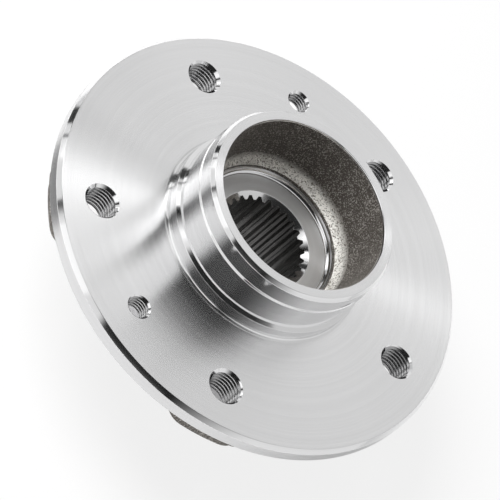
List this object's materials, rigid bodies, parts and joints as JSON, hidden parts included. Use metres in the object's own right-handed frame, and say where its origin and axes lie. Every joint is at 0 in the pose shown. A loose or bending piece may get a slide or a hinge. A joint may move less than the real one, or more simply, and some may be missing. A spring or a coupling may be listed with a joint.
{
  "type": "wheel hub",
  "caption": "Driven wheel hub: turned flange with threaded wheel-bolt holes and stepped pilot, splined bore, and a sealed double-row ball bearing on its spindle.",
  "frame": {"origin": "centre of the bolt circle on the flange's front face, which the brake disc and wheel seat on", "axes": "+Z along the wheel axis, out of the hub's nose; +X through the middle of one wheel-bolt hole"},
  "size_m": [0.1512, 0.1512, 0.0759],
  "materials": {
    "turned_steel": "bright turned steel, with dark forging scale left in the cavity and on the rear",
    "ground_steel": "ground bearing steel",
    "ball_steel": "polished bearing steel",
    "spring_steel": "blued spring steel",
    "pressed_steel": "pressed stainless sheet",
    "cage_nylon": "moulded glass-filled nylon",
    "seal_rubber": "moulded nitrile rubber",
    "encoder_rubber": "magnetised ferrite rubber"
  },
  "bodies": {
    "bearing_housing": {"outer_ring": "ground_steel", "seal_case_outboard": "pressed_steel", "seal_lip_outboard": "seal_rubber", "seal_case_inboard": "pressed_steel", "seal_lip_inboard": "seal_rubber"},
    "rotating_hub": {"hub": "turned_steel", "inner_ring_outboard": "ground_steel", "inner_ring_inboard": "ground_steel", "inner_ring_clip": "spring_steel", "slinger_outboard": "pressed_steel", "slinger_inboard": "pressed_steel", "encoder_ring": "encoder_rubber"},
    "ball_row_outboard": {"cage_outboard": "cage_nylon", "ball_outboard_01": "ball_steel", "ball_outboard_02": "ball_steel", "ball_outboard_03": "ball_steel", "ball_outboard_04": "ball_steel", "ball_outboard_05": "ball_steel", "ball_outboard_06": "ball_steel", "ball_outboard_07": "ball_steel", "ball_outboard_08": "ball_steel", "ball_outboard_09": "ball_steel", "ball_outboard_10": "ball_steel", "ball_outboard_11": "ball_steel", "ball_outboard_12": "ball_steel", "ball_outboard_13": "ball_steel", "ball_outboard_14": "ball_steel"},
    "ball_row_inboard": {"cage_inboard": "cage_nylon", "ball_inboard_01": "ball_steel", "ball_inboard_02": "ball_steel", "ball_inboard_03": "ball_steel", "ball_inboard_04": "ball_steel", "ball_inboard_05": "ball_steel", "ball_inboard_06": "ball_steel", "ball_inboard_07": "ball_steel", "ball_inboard_08": "ball_steel", "ball_inboard_09": "ball_steel", "ball_inboard_10": "ball_steel", "ball_inboard_11": "ball_steel", "ball_inboard_12": "ball_steel", "ball_inboard_13": "ball_steel", "ball_inboard_14": "ball_steel"}
  },
  "joints": [
    {"name": "hub_spin", "type": "hinge", "parent": "bearing_housing", "child": "rotating_hub", "pos_m": [0, 0, -0.032], "axis": [0, 0, 1], "continuous": true},
    {"name": "outboard_row_orbit", "type": "hinge", "parent": "bearing_housing", "child": "ball_row_outboard", "pos_m": [0, 0, -0.025], "axis": [0, 0, 1], "continuous": true},
    {"name": "inboard_row_orbit", "type": "hinge", "parent": "bearing_housing", "child": "ball_row_inboard", "pos_m": [0, 0, -0.039], "axis": [0, 0, 1], "continuous": true}
  ],
  "couplings": [
    {"joint": "outboard_row_orbit", "follows": "hub_spin", "ratio": 0.4275},
    {"joint": "inboard_row_orbit", "follows": "hub_spin", "ratio": 0.4275}
  ]
}
